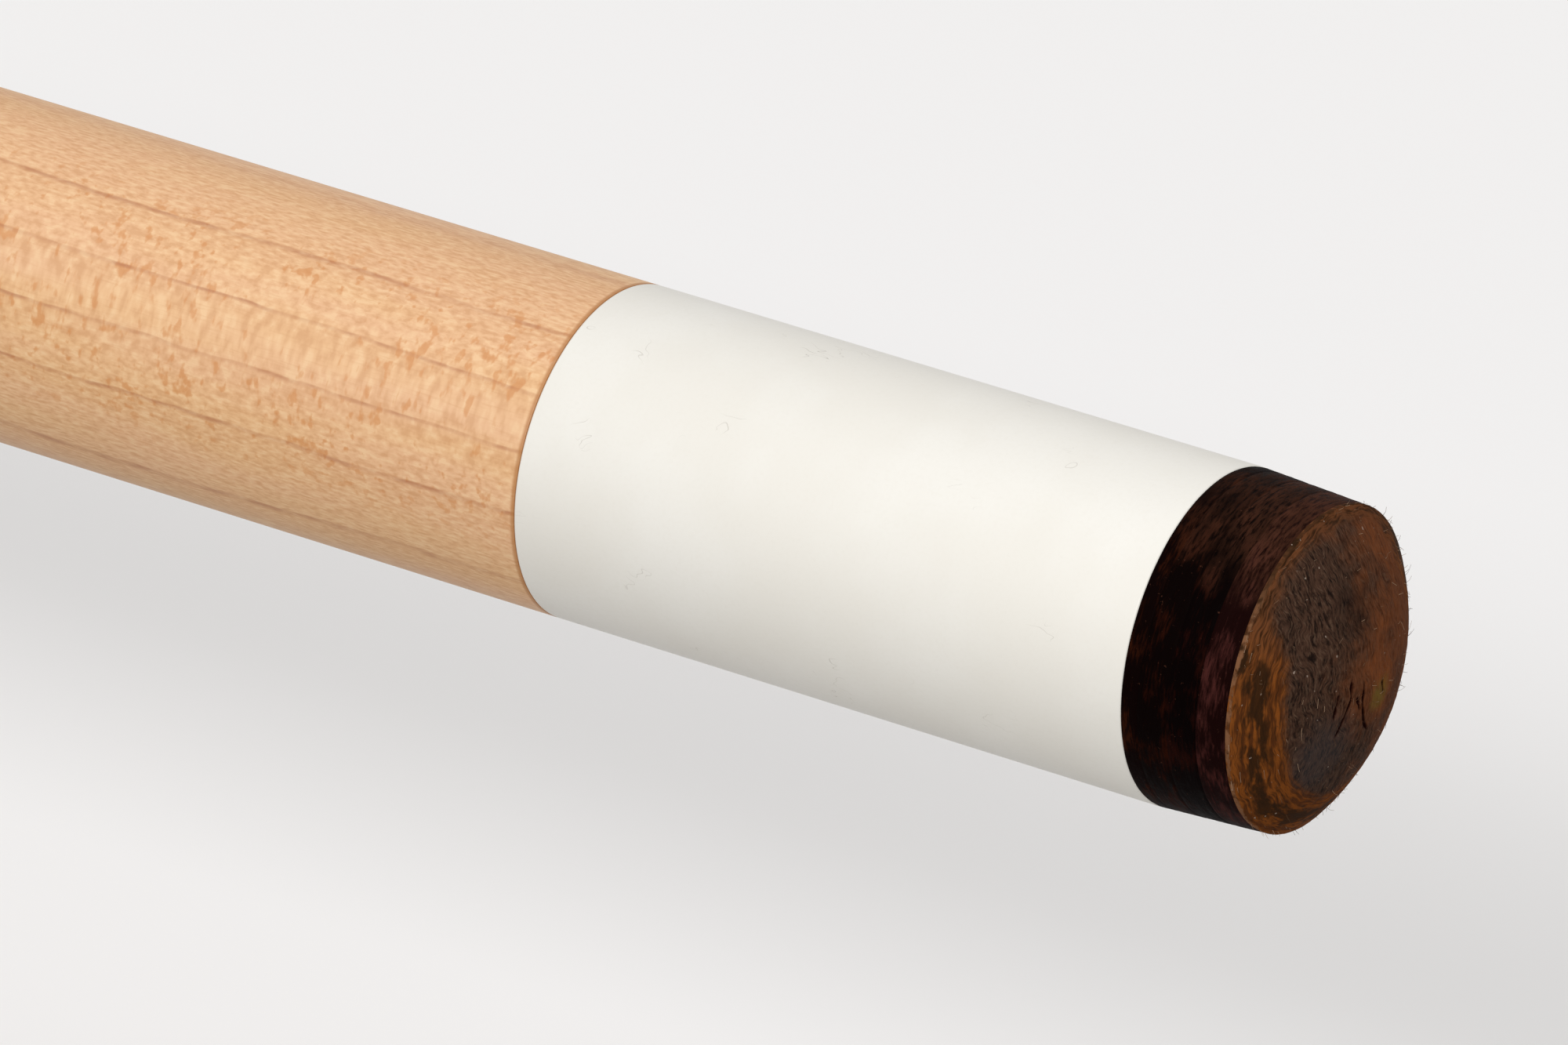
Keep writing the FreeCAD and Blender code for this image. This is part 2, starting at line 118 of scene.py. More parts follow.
def threadPhase(point, pitch):
    # 0 to 1 across one turn of a right-handed thread about the cue's axis
    return (point.x / pitch - math.atan2(point.z, point.y) / math.tau) % 1


def windThread(piece, low, high, radius, pitch, depth):
    # lowers the wall of one radius into a thread's grooves, which run out within a turn at both ends
    for vertex in piece.data.vertices:
        point = vertex.co
        wall = math.hypot(point.y, point.z)
        if not low <= point.x <= high or abs(wall - radius) > 0.02 * mm:
            continue
        groove = min(1, max(0, abs(threadPhase(point, pitch) - 0.5) * 2.6 - 0.15))
        fade = min(1, (point.x - low) / pitch, (high - point.x) / pitch)
        scaleAcross(point, 1 - depth * fade * groove / wall)


def finishPiece(piece, body, material, slotName, *nodes):
    piece.data.materials.clear()
    piece.data.materials.append(material)
    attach(piece, body)
    if nodes:
        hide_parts(*nodes)


# material helpers


class Value:
    # a shader socket that takes part in ordinary arithmetic
    def __init__(self, finish, socket):
        self.finish = finish
        self.socket = socket

    def apply(self, operation, *terms):
        return self.finish.node("ShaderNodeMath", {"operation": operation}, dict(enumerate(terms)))

    def __add__(self, other):
        return self.apply("ADD", self, other)

    def __sub__(self, other):
        return self.apply("SUBTRACT", self, other)

    def __mul__(self, other):
        return self.apply("MULTIPLY", self, other)

    def __truediv__(self, other):
        return self.apply("DIVIDE", self, other)

    def __pow__(self, other):
        return self.apply("POWER", self, other)

    def __rsub__(self, other):
        return self.apply("SUBTRACT", other, self)

    __radd__ = __add__
    __rmul__ = __mul__


class Finish:
    # one material: its principled shader and the nodes in front of it
    def __init__(self, name, **surface):
        self.material = bpy.data.materials.new(name)
        self.material.use_nodes = True
        self.tree = self.material.node_tree
        self.shader = self.tree.nodes["Principled BSDF"]
        for socket, value in surface.items():
            self.put(self.shader.inputs[socket.replace("_", " ")], value)
        position = self.node("ShaderNodeTexCoord", {}, {}, "Object")
        millimetres = {0: position, "Scale": 1 / mm}
        self.position = self.node("ShaderNodeVectorMath", {"operation": "SCALE"}, millimetres)
        parts = {0: self.position}
        self.x = self.node("ShaderNodeSeparateXYZ", {}, parts, "X")
        self.y = self.node("ShaderNodeSeparateXYZ", {}, parts, "Y")
        self.z = self.node("ShaderNodeSeparateXYZ", {}, parts, "Z")

    def put(self, socket, value):
        if isinstance(value, Value):
            self.tree.links.new(value.socket, socket)
        else:
            socket.default_value = value

    def node(self, kind, settings, sockets, output=0):
        node = self.tree.nodes.new(kind)
        for name, value in settings.items():
            if name == "stops":
                ramp = node.color_ramp
                while len(ramp.elements) < len(value):
                    ramp.elements.new(0.5)
                for element, (place, colour) in zip(ramp.elements, value):
                    element.position = place
                    element.color = (*colour, 1)
            else:
                setattr(node, name, value)
        for name, value in sockets.items():
            self.put(node.inputs[name], value)
        return Value(self, node.outputs[output])

    def vector(self, x, y, z):
        return self.node("ShaderNodeCombineXYZ", {}, {0: x, 1: y, 2: z})

    def noise(self, place, scale=1, detail=2, roughness=0.5):
        sockets = {"Vector": place, "Scale": scale, "Detail": detail, "Roughness": roughness}
        return self.node("ShaderNodeTexNoise", {}, sockets)

    def fade(self, value, low, high):
        # 0 below low, 1 above high, smooth between; low may be above high
        sockets = {"Value": value, "From Min": low, "From Max": high}
        return self.node("ShaderNodeMapRange", {"interpolation_type": "SMOOTHSTEP"}, sockets)

    def mix(self, factor, first, second):
        sockets = {0: factor, 6: first if isinstance(first, Value) else (*first, 1),
                   7: second if isinstance(second, Value) else (*second, 1)}
        return self.node("ShaderNodeMix", {"data_type": "RGBA"}, sockets, 2)

    def radius(self):
        return (self.y * self.y + self.z * self.z) ** 0.5

    def bump(self, height, distance, strength=1):
        sockets = {"Height": height, "Distance": distance, "Strength": strength}
        self.put(self.shader.inputs["Normal"], self.node("ShaderNodeBump", {}, sockets))

    def colour(self, value):
        self.put(self.shader.inputs["Base Color"], value)

    def roughness(self, value):
        self.put(self.shader.inputs["Roughness"], value)


# wood

# The growth rings lie in planes across ringWay; the rays run along it and show as flecks where the
# surface faces across the rings.
ringWay = (0.546, 0.838)      # y and z parts

shaftMaple = {
    "pale": (0.780, 0.472, 0.238),
    "tan": (0.560, 0.265, 0.105),
    "light": (0.900, 0.640, 0.372),
    "pink": (0.785, 0.460, 0.280),
    "fleck": (0.600, 0.235, 0.062),
    "line": (0.380, 0.120, 0.047),
    "glue": (0.420, 0.165, 0.040),       # where the wood meets the ferrule
    "ringPitch": 2.285,
    "ringStart": -5.35,
    "flecks": 1.0,
    "lines": 0.55,
    "coat": 0.0,
    "roughness": 0.45,
}
forearmMaple = {
    "pale": (0.600, 0.310, 0.115),
    "tan": (0.440, 0.195, 0.060),
    "light": (0.700, 0.400, 0.170),
    "pink": (0.560, 0.250, 0.090),
    "fleck": (0.360, 0.130, 0.030),
    "line": (0.200, 0.066, 0.018),
    "ringPitch": 3.1,
    "ringStart": -4.0,
    "flecks": 0.7,
    "lines": 0.55,
    "coat": 1.0,
    "roughness": 0.35,
}
darkWood = {
    "pale": (0.115, 0.036, 0.018),
    "tan": (0.038, 0.012, 0.007),
    "light": (0.170, 0.060, 0.027),
    "pink": (0.070, 0.020, 0.012),
    "fleck": (0.020, 0.007, 0.005),
    "line": (0.006, 0.003, 0.002),
    "ringPitch": 1.3,
    "ringStart": -6.0,
    "flecks": 0.8,
    "lines": 0.9,
    "coat": 0.5,
    "roughness": 0.3,
}


def wood(name, look, glueLine=None):
    finish = Finish(name, Coat_Weight=look["coat"], Coat_Roughness=0.06, Specular_IOR_Level=0.4)
    across = finish.y * ringWay[0] + finish.z * ringWay[1]
    facing = finish.z * ringWay[0] - finish.y * ringWay[1]
    # growth lines, a little wavy and unevenly spaced
    flat = facing * facing / (across * across + facing * facing)     # 1 where the rays lie in the surface
    drift = finish.noise(finish.vector(finish.x / 26, across / 6, facing / 9), 1, 1)
    ripple = finish.noise(finish.vector(finish.x / 2.6, across / 1.6, facing / 1.6), 1, 2)
    wavy = across + (drift - 0.5) * 0.9 + (ripple - 0.5) * 0.26
    rings = (wavy - look["ringStart"]) / look["ringPitch"]
    part = rings.apply("FRACT", rings)                               # 0 to 1 from one line to the next
    build = finish.fade(part, 0.45, 0.97)
    line = finish.fade(part, 0.90, 0.965) * finish.fade(part, 1.0, 0.975)
    broken = finish.noise(finish.vector(finish.x / 1.4, across / 0.5, facing / 0.6), 1, 2)
    line = line * (0.35 + finish.fade(broken, 0.42, 0.66) * 0.65) * finish.fade(flat, 0.04, 0.2)
    # rays: short along the cue, very thin one way and long the other, so that they are fine dashes
    # on two sides of the cue and flakes across the grain on the other two
    rays = finish.noise(finish.vector(finish.x / 0.40, across / 1.1, facing / 0.08), 1, 2, 0.5)
    broadRays = finish.noise(finish.vector(finish.x / 0.36, across / 0.85, facing / 0.20), 1, 2, 0.5)
    patches = finish.noise(finish.vector(finish.x / 3.2, across / 3.4, facing / 1.2), 1, 1)
    dash = finish.fade(rays, 0.47, 0.70)
    lustre = finish.fade(rays, 0.50, 0.32)
    fleck = finish.fade(broadRays + (patches - 0.5) * 0.4, 0.55, 0.70)
    fleck = fleck * (0.1 + finish.fade(flat, 0.35, 0.8) * 0.9)
    # fibres: long along the cue
    fibre = finish.noise(finish.vector(finish.x / 1.3, across / 0.10, facing / 0.10), 1, 3, 0.6)
    broad = finish.noise(finish.vector(finish.x / 14, across / 2.2, facing / 3.0), 1, 2)
    tint = finish.mix(finish.fade(broad, 0.34, 0.68) * 0.5, look["pale"], look["pink"])
    tint = finish.mix(build * (0.3 * look["lines"]), tint, look["tan"])
    tint = finish.mix(lustre * 0.42, tint, look["light"])
    tint = finish.mix(dash * 0.45, tint, look["tan"])
    tint = finish.mix(finish.fade(fibre, 0.46, 0.72) * 0.22, tint, look["tan"])
    tint = finish.mix(fleck * (0.62 * look["flecks"]), tint, look["fleck"])
    tint = finish.mix(line * look["lines"], tint, look["line"])
    if glueLine:
        edge = glueLine / mm
        seam = finish.fade(finish.x, edge - 0.20, edge - 0.05)
        tint = finish.mix(seam * 0.75, tint, look["glue"])
    finish.colour(tint)
    finish.roughness(look["roughness"] + (fibre - 0.5) * 0.12)
    finish.bump(fibre * 0.5 + line * -0.4 + rays * 0.4, 0.015 * mm, 0.3)
    return finish.material


# other finishes


ferruleLook = {
    "white": (0.866, 0.843, 0.785),
    "shade": (0.838, 0.810, 0.745),
    "grain": (0.790, 0.755, 0.680),
    "scuff": (0.420, 0.380, 0.330),
}


def ferrulePlastic():
    look = ferruleLook
    finish = Finish("ferruleWhite", Specular_IOR_Level=0.35)
    cloud = finish.noise(finish.position, 0.22, 2)
    grain = finish.noise(finish.position, 6, 3, 0.6)
    # a few faint scuffs, each a thin bent streak
    bend = finish.noise(finish.position, 0.35, 2)
    streak = finish.noise(finish.vector(finish.x / 2.1, finish.y / 0.9 + bend * 4, finish.z / 0.9), 1, 2)
    thin = finish.fade(streak.apply("ABSOLUTE", streak - 0.5), 0.006, 0.001)
    rare = finish.fade(finish.noise(finish.position, 0.45, 1), 0.64, 0.72)
    scuff = thin * rare
    tint = finish.mix(finish.fade(cloud, 0.35, 0.7), look["shade"], look["white"])
    tint = finish.mix(finish.fade(grain, 0.42, 0.75) * 0.18, tint, look["grain"])
    tint = finish.mix(scuff * 0.5, tint, look["scuff"])
    finish.colour(tint)
    finish.roughness(0.42 + (grain - 0.5) * 0.16 + scuff * 0.2)
    finish.bump(grain + scuff * -2, 0.006 * mm, 0.35)
    return finish.material


leatherSides = [               # burnished side of each layer, from the ferrule forward: (base, streak)
    ((0.0026, 0.0005, 0.0004), (0.0330, 0.0072, 0.0022)),
    ((0.0018, 0.0004, 0.0003), (0.0220, 0.0042, 0.0016)),
    ((0.0014, 0.0003, 0.0003), (0.0160, 0.0029, 0.0016)),
    ((0.0070, 0.0014, 0.0012), (0.0600, 0.0162, 0.0135)),
]
leatherPaintedLightAndSpeck = {
    # brown: painted light from above, towards the top of the side
    "brown": (0.070, 0.026, 0.014),      # towards the top of the side
    "speck": (0.090, 0.034, 0.020),
}


def leatherSide(number, base, streak):
    finish = Finish(f"leatherSide{number}", Specular_IOR_Level=0.012)
    strands = finish.noise(finish.vector(finish.x / 0.10, finish.y / 0.55, finish.z / 0.55), 1, 3, 0.65)
    clouds = finish.noise(finish.vector(finish.x / 0.9, finish.y / 1.8, finish.z / 1.8), 1, 2)
    speck = finish.noise(finish.position, 6.5, 2, 0.6)
    amount = finish.fade(strands * 0.45 + clouds * 0.55, 0.48, 0.70)
    tint = finish.mix(amount, base, streak)
    # browner and lighter towards the top, painted light from above, most on the foremost layer
    wearAndPaintedLight = finish.fade(finish.z + (clouds - 0.5) * 3, 5.7 - 0.5 * number, 6.6)
    wearAndPaintedLight = wearAndPaintedLight * finish.fade(strands, 0.3, 0.6)
    tint = finish.mix(wearAndPaintedLight * (0.12 + 0.16 * number), tint, leatherPaintedLightAndSpeck["brown"])
    tint = finish.mix(finish.fade(speck, 0.68, 0.78) * 0.5, tint, leatherPaintedLightAndSpeck["speck"])
    finish.colour(tint)
    finish.roughness(0.62 + (strands - 0.5) * 0.4)
    finish.bump(strands + speck * 0.4, 0.05 * mm, 0.5)
    return finish.material


domeLook = {
    "orange": (0.210, 0.062, 0.011),     # the ring
    "brown": (0.085, 0.026, 0.007),
    "patch": (0.026, 0.012, 0.005),
    "ringTop": (0.125, 0.048, 0.021),
    # rimLine: the painted highlight along the rim
    "rimLine": (0.225, 0.102, 0.048),
    "core": (0.064, 0.032, 0.020),
    "coreLight": (0.118, 0.070, 0.045),
    "coreDark": (0.011, 0.006, 0.0045),
    "rust": (0.260, 0.072, 0.018),
    "chalk": (0.050, 0.050, 0.055),
    "olive": (0.170, 0.118, 0.022),
    # crack: painted shade in the cracks' grooves
    "crack": (0.012, 0.0012, 0.0006),
    "speck": (0.420, 0.330, 0.270),
}
domeSpots = {                  # stains on the core: y, z, inner and outer radius in mm
    "rust": (0.2, 0.2, 0.0, 3.0),
    "olive": (0.65, -0.6, 0.15, 0.85),
    "chalk": (-2.5, -1.8, 0.3, 2.2),
    "coreDark": (-0.3, 3.1, 0.2, 1.5),
}


def spot(finish, y, z, inner, outer):
    # 1 close to a point of the dome, 0 beyond outer, ragged between, in mm
    side = finish.y - y
    rise = finish.z - z
    ragged = (finish.noise(finish.position, 1.4, 3, 0.6) - 0.5) * (outer * 0.9)
    return finish.fade((side * side + rise * rise) ** 0.5 + ragged, outer, inner)


def domeLeather(rim, edge):
    # the shaped face: an orange-brown ring, from edge to rim, round a grey-brown fibrous core
    look = domeLook
    finish = Finish("leatherDome", Specular_IOR_Level=0.02)
    radius = finish.radius()
    wander = finish.noise(finish.vector(finish.x / 3, finish.y / 1.3, finish.z / 1.3), 1, 2)
    ragged = finish.noise(finish.vector(finish.x / 0.6, finish.y / 0.6, finish.z / 0.6), 1, 3, 0.6)
    tufts = finish.noise(finish.vector(finish.x / 0.3, finish.y / 0.3, finish.z / 0.3), 1, 3, 0.65)
    clouds = finish.noise(finish.vector(finish.x, finish.y / 1.5, finish.z / 1.5), 1, 2)
    patchy = finish.noise(finish.vector(radius / 0.5, finish.y / 1.3, finish.z / 1.3), 1, 3, 0.6)
    # the ring's fibres follow the rim, the core's run up and down
    swirl = finish.vector((radius + wander * 0.35) / 0.12, finish.y / 1.05, finish.z / 1.05)
    strands = finish.noise(swirl, 1, 2, 0.6)
    fineSwirl = finish.vector((radius + wander * 0.6) / 0.06, finish.y / 0.48, finish.z / 0.48)
    hairs = finish.noise(fineSwirl, 1, 1, 0.6)
    coreWay = finish.y + wander * 1.0
    coreStrands = finish.noise(finish.vector(finish.x / 0.7, coreWay / 0.13, finish.z / 0.42), 1, 3, 0.65)
    coreHairs = finish.noise(finish.vector(finish.x / 0.7, coreWay / 0.055, finish.z / 0.26), 1, 2, 0.6)

    core = finish.fade(coreStrands * 0.7 + tufts * 0.3, 0.36, 0.56)
    core = finish.mix(core, look["coreDark"], look["core"])
    core = finish.mix(finish.fade(coreHairs, 0.50, 0.70) * 0.65, core, look["coreLight"])
    core = finish.mix(finish.fade(coreHairs, 0.46, 0.32) * 0.5, core, look["coreDark"])
    rusty = finish.fade(finish.y * 0.7 + (clouds - 0.5) * 6, -0.6, 2.4)
    core = finish.mix(rusty * (coreStrands * 0.9), core, look["rust"])
    amounts = {"rust": coreStrands * 0.9, "olive": coreHairs * 1.3, "chalk": 0.35, "coreDark": 0.45}
    for stain, where in domeSpots.items():
        core = finish.mix(spot(finish, *where) * amounts[stain], core, look[stain])

    ring = finish.mix(finish.fade(strands, 0.38, 0.60), look["brown"], look["orange"])
    ring = finish.mix(finish.fade(hairs, 0.46, 0.30) * 0.6, ring, look["patch"])
    topTone = finish.fade(hairs * 0.5 + strands * 0.5, 0.38, 0.58)
    topTone = finish.mix(topTone, look["patch"], look["ringTop"])
    ring = finish.mix(finish.fade(finish.z + clouds * 2, 2.4, 5.6) * 0.8, ring, topTone)
    # the ring narrows towards the top, where the core runs nearly to the rim
    place = radius + (ragged - 0.5) * 0.5 + (wander - 0.5) * 0.45 - finish.fade(finish.z, 1.2, 5.0) * 1.4
    middle = finish.fade(place, edge + 0.10, edge + 0.42) * finish.fade(place, rim - 0.22, rim - 0.50)
    ring = finish.mix(middle * finish.fade(patchy, 0.40, 0.54) * 0.9, ring, look["patch"])
    tint = finish.mix(finish.fade(place, edge - 0.55, edge - 0.05), core, ring)
    # a pale line along the rim, a painted highlight, left out at the top, where the line stays dark
    rimLine = finish.fade(radius + (ragged - 0.5) * 0.3, rim - 0.045, rim - 0.005)
    tint = finish.mix(rimLine * 0.7, tint, look["patch"])
    wearAndPaintedLight = finish.fade(finish.z + clouds * 3, 7.2, 4.6)
    wearAndPaintedLight = wearAndPaintedLight * finish.fade(ragged * 0.6 + hairs * 0.4, 0.36, 0.56)
    tint = finish.mix(rimLine * wearAndPaintedLight * 0.85, tint, look["rimLine"])
    # the cracks are painted nearly black, painted shade in their grooves
    cracks = finish.node("ShaderNodeAttribute", {"attribute_name": "cracks"}, {}, "Fac")
    tint = finish.mix(cracks, tint, look["crack"])
    speck = finish.fade(finish.noise(finish.position, 4.2, 1), 0.755, 0.79)
    finish.colour(finish.mix(speck * 0.6, tint, look["speck"]))
    finish.roughness(0.78 + (strands - 0.5) * 0.2)
    inner = finish.fade(place, edge - 0.1, edge - 0.6)
    fibres = (strands + hairs * 0.8) * (1 - inner) + (coreStrands + coreHairs * 0.8) * inner
    finish.bump(fibres + tufts * 0.3, 0.05 * mm, 0.7)
    return finish.material


def turnedMetal(name, tint, roughness):
    # metal turned on a lathe: fine rings round the axis and a few wipe marks
    finish = Finish(name, Metallic=1.0)
    ringWidth = 0.07
    lines = finish.noise(finish.vector(finish.x / ringWidth, finish.radius() / ringWidth, 0), 1, 2, 0.6)
    wipe = finish.noise(finish.position, 0.18, 3, 0.6)
    dull = tuple(0.82 * part for part in tint)
    finish.colour(finish.mix(finish.fade(wipe, 0.3, 0.75) * 0.4, tint, dull))
    finish.roughness(roughness + (lines - 0.5) * 0.16 + (wipe - 0.5) * 0.05)
    finish.bump(lines, 0.006 * mm, 0.4)
    return finish.material


resinLook = {
    "black": (0.010, 0.010, 0.011),
    "swirl": (0.020, 0.019, 0.019),
}


def capResin():
    finish = Finish("capResin", Coat_Weight=0.25, Coat_Roughness=0.05, Specular_IOR_Level=0.3)
    swirl = finish.noise(finish.position, 0.25, 3, 0.6)
    wear = finish.noise(finish.position, 1.6, 3, 0.7)
    finish.colour(finish.mix(finish.fade(swirl, 0.3, 0.7), resinLook["black"], resinLook["swirl"]))
    finish.roughness(0.22 + finish.fade(wear, 0.5, 0.8) * 0.18)
    finish.bump(wear, 0.006 * mm, 0.15)
    return finish.material


rubberLook = {
    "black": (0.018, 0.018, 0.019),
    "pebble": (0.036, 0.035, 0.034),
    "dust": (0.105, 0.098, 0.090),
}


def bumperRubber():
    finish = Finish("bumperRubber", Specular_IOR_Level=0.35)
    pebble = finish.noise(finish.position, 3.2, 3, 0.65)
    dust = finish.noise(finish.position, 0.35, 4, 0.7)
    wearAndPaintedLight = finish.fade(finish.x, 2.5, 0.0) * finish.fade(dust, 0.42, 0.62)      # only on the end face
    tint = finish.mix(finish.fade(pebble, 0.4, 0.7) * 0.6, rubberLook["black"], rubberLook["pebble"])
    finish.colour(finish.mix(wearAndPaintedLight * 0.5, tint, rubberLook["dust"]))
    finish.roughness(0.68 + wearAndPaintedLight * 0.15 + (pebble - 0.5) * 0.1)
    finish.bump(pebble, 0.05 * mm, 0.4)
    return finish.material


linenLook = {
    "black": (0.007, 0.007, 0.008),
    "ply": (0.030, 0.030, 0.032),
    "white": (0.620, 0.600, 0.550),
}


def linen(pitch):
    # black thread with white flecks, one turn after another
    finish = Finish("linenThread", Sheen_Weight=0.15)
    angle = finish.node("ShaderNodeMath", {"operation": "ARCTAN2"}, {0: finish.z, 1: finish.y})
    turn = finish.x / (pitch / mm) - angle / math.tau
    number = finish.node("ShaderNodeMath", {"operation": "FLOOR"}, {0: turn})
    across = finish.node("ShaderNodeMath", {"operation": "FRACT"}, {0: turn})
    crown = 4 * across * (1 - across)             # 0 between two threads, 1 on top of one
    flecks = finish.noise(finish.vector(number * 3.7, finish.y / 3.4, finish.z / 3.4), 1, 2, 0.6)
    ply = finish.noise(finish.vector(finish.x / 0.25, finish.y / 0.5, finish.z / 0.5), 1, 2)
    # the white flecks and the ply's lighter tone fade out towards the grooves between threads: painted
    # shade
    amount = finish.fade(flecks + (ply - 0.5) * 0.14 + crown * 0.05, 0.60, 0.68)
    amount = amount * finish.fade(crown, 0.15, 0.6)
    tint = finish.mix(finish.fade(ply, 0.3, 0.7) * crown, linenLook["black"], linenLook["ply"])
    finish.colour(finish.mix(amount, tint, linenLook["white"]))
    finish.roughness(0.62 + (ply - 0.5) * 0.2)
    finish.bump(ply, 0.08 * mm, 0.4)
    return finish.material


metals = {
    "ringSilver": turnedMetal("ringSilver", (0.78, 0.76, 0.71), 0.14),
    "collarSteel": turnedMetal("collarSteel", (0.66, 0.66, 0.65), 0.12),
    "pinSteel": turnedMetal("pinSteel", (0.62, 0.62, 0.61), 0.20),
    "insertBrass": turnedMetal("insertBrass", (0.78, 0.55, 0.24), 0.22),
    "zincSteel": turnedMetal("zincSteel", (0.55, 0.56, 0.57), 0.30),
    "blackScrew": turnedMetal("blackScrew", (0.060, 0.060, 0.063), 0.34),
}
woods = {
    "shaft": wood("shaftMaple", shaftMaple, glueLine=span("ferrule")[0]),
    "forearm": wood("forearmMaple", forearmMaple),
    "dark": wood("darkWood", darkWood),
    "core": wood("coreMaple", {**forearmMaple, "coat": 0.0, "roughness": 0.55}),
}
blackResin = capResin()
print("finishes made")


# the tip: six pressed layers of leather, shaped to a dome

tip = {
    "sides": 512,
    "draft": 0.22 * mm,          # how much the side leans in, from the ferrule to the rim
    "side": 4.27 * mm,           # height of the side
    "domeRadius": 9.3 * mm,
    "seam": 0.022 * mm,          # depth of the groove between two layers
    "fineStep": 0.045 * mm,
    "sideRelief": 0.012 * mm,    # how rough the burnished side is
    "domeRelief": 0.022 * mm,
    "cracks": [                  # points (y, z) each crack runs through, in mm
        [(-1.2, 0.8), (-1.25, 0.0), (-1.6, -0.6), (-2.0, -1.3)],
        [(-1.85, 0.5), (-2.05, 0.0), (-2.15, -0.5)],
        [(-0.45, 0.4), (-0.55, -0.4), (-0.35, -1.3), (0.1, -1.9)],
        [(-0.9, 0.0), (-0.7, -0.7)],
        [(0.8, -0.1), (0.95, -0.8)],
    ],
    "crackWidth": 0.085 * mm,
    "crackDepth": 0.10 * mm,
    "seamWidth": 0.09 * mm,
    "layers": 6,
}
tipFoot, _, tipRadius = span("tip_layer_1")
rimRadius = tipRadius - tip["draft"]
domeCentre = tip["side"] - math.sqrt(tip["domeRadius"] ** 2 - rimRadius ** 2)


def tipOutline(height):
    # the tip's radius at a height above the ferrule
    if height <= tip["side"]:
        return tipRadius - tip["draft"] * height / tip["side"]
    return math.sqrt(max(0, tip["domeRadius"] ** 2 - (height - domeCentre) ** 2))


def crackAt(point):
    # 0 to 1: how deep a crack of the dome is at this point
    place = Vector((point.y, point.z)) / mm
    deepest = 0
    for crack in tip["cracks"]:
        for number in range(len(crack) - 1):
            start, end = Vector(crack[number]), Vector(crack[number + 1])
            along = (place - start).dot(end - start) / (end - start).length_squared
            if not 0 <= along <= 1:
                continue
            wander = noise.noise(Vector((place.y * 3, number * 5, 0))) * 0.06
            away = ((place - start.lerp(end, along)).length + wander) * mm
            ends = min(1, 3 * (number + along), 3 * (len(crack) - 1 - number - along))
            deepest = max(deepest, (1 - abs(away) / tip["crackWidth"]) * ends)
    return deepest


def roughenLeather(piece, foot):
    # strands round the axis and small tufts, as sanding and chalk leave them
    strength = piece.data.attributes.new("cracks", "FLOAT", "POINT")
    for vertex in piece.data.vertices:
        point = vertex.co
        radius = math.hypot(point.y, point.z)
        height = point.x - foot
        outside = abs(radius - tipOutline(height)) < 0.04 * mm
        if not outside or radius < 0.01 * mm:
            continue
        onDome = height > tip["side"] - 0.02 * mm
        x, y, z = point / mm
        if onDome and radius < domeEdge:
            strand = noise.noise(Vector((x, y * 7, z * 2.2)))
        else:
            strand = noise.noise(Vector((radius / mm * 7 + x * 6, y, z)))
        tuft = noise.noise(point / mm * 4.5)
        relief = tip["domeRelief"] if onDome else tip["sideRelief"]
        move = relief * (0.6 * strand + 0.4 * tuft - 0.35)
        out = Vector((height - domeCentre if onDome else 0, point.y, point.z)).normalized()
        crack = crackAt(point) if onDome else 0
        # how dark each point of a crack is painted, painted shade in its groove
        strength.data[vertex.index].value = min(1, max(0, 2.2 * crack))
        vertex.co = point + out * (move - max(0, crack) * tip["crackDepth"])


def domeArc(low, high):
    # points of the dome between two heights, in equal steps of angle
    first = math.acos(min(1, (low - domeCentre) / tip["domeRadius"]))
    last = math.acos(min(1, (high - domeCentre) / tip["domeRadius"]))
    count = max(4, round((first - last) * tip["domeRadius"] / tip["fineStep"]))
    return [
        (domeCentre + tip["domeRadius"] * math.cos(angle), tip["domeRadius"] * math.sin(angle))
        for angle in steps(first, last, count)
    ]


def tipLayer(number):
    first, last, _ = span(f"tip_layer_{number}")
    low, high = first - tipFoot, last - tipFoot
    topmost = number == tip["layers"]
    outline = [(low, tipOutline(low))]
    if low <= tip["side"]:
        sideEnd = min(high, tip["side"])
        count = max(3, round((sideEnd - low) / tip["fineStep"]))
        outline = [(height, tipOutline(height)) for height in steps(low, sideEnd, count)]
    if high > tip["side"]:
        outline += domeArc(max(low, tip["side"]), high)[1:]
    closed = [(first, 0)]
    for height, radius in outline:
        near = min(height - low, 1 if topmost else high - height)        # to the nearest seam
        depth = tip["seam"] * max(0, 1 - near / tip["seamWidth"])
        closed.append((tipFoot + height, max(0, radius - depth)))
    if not topmost:
        closed.append((last, 0))
    piece = lathe(f"tipLayer{number}", closed, tip["sides"])
    roughenLeather(piece, tipFoot)
    smooth(piece, 60)
    return piece


domeEdge = tipOutline(span(f"tip_layer_{tip['layers']}")[0] - tipFoot)      # where the core begins
dome = domeLeather(rimRadius / mm, domeEdge / mm)
for number in range(1, tip["layers"] + 1):
    onSide = number <= len(leatherSides)
    material = leatherSide(number, *leatherSides[number - 1]) if onSide else dome
    slotName = "leather_core" if number == tip["layers"] else "leather_side"
    finishPiece(tipLayer(number), "shaft", material, slotName, f"tip_layer_{number}")

fuzz = {                       # loose fibres standing off the rim and the face
    "hairs": 260,
    "radius": 0.009 * mm,
    "length": 0.28 * mm,
    "sunk": 0.03 * mm,           # how far the roots sit in the leather
    "dark": (0.090, 0.040, 0.018),
    "pale": (0.420, 0.280, 0.180),
}
goldenAngle = 2.399963           # spreads the hairs evenly


